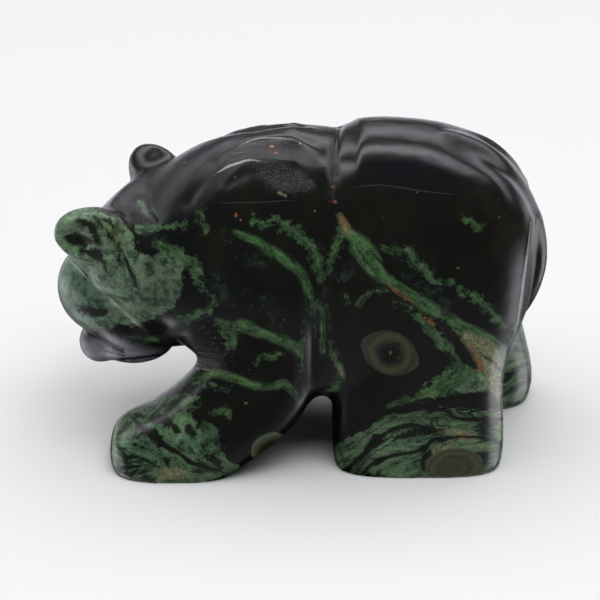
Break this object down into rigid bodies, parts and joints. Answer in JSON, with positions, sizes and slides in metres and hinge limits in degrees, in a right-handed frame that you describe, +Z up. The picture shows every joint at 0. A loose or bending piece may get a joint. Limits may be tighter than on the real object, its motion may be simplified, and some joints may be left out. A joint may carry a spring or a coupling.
{
  "type": "jasper bear carving",
  "caption": "Small polished stone carving of a walking bear, head low and turned aside, with a crease behind the shoulders, standing on flat-soled feet.",
  "frame": {"origin": "on the ground, in the middle of the box around the figure", "axes": "the bear walks towards -X and its tail is at +X, its left side faces -Y, and +Z is up"},
  "size_m": [0.0496, 0.0256, 0.0329],
  "materials": {
    "jasper": "polished dark green jasper with light green veins and orbs"
  },
  "bodies": {
    "root": {"bear": "jasper"}
  },
  "joints": []
}
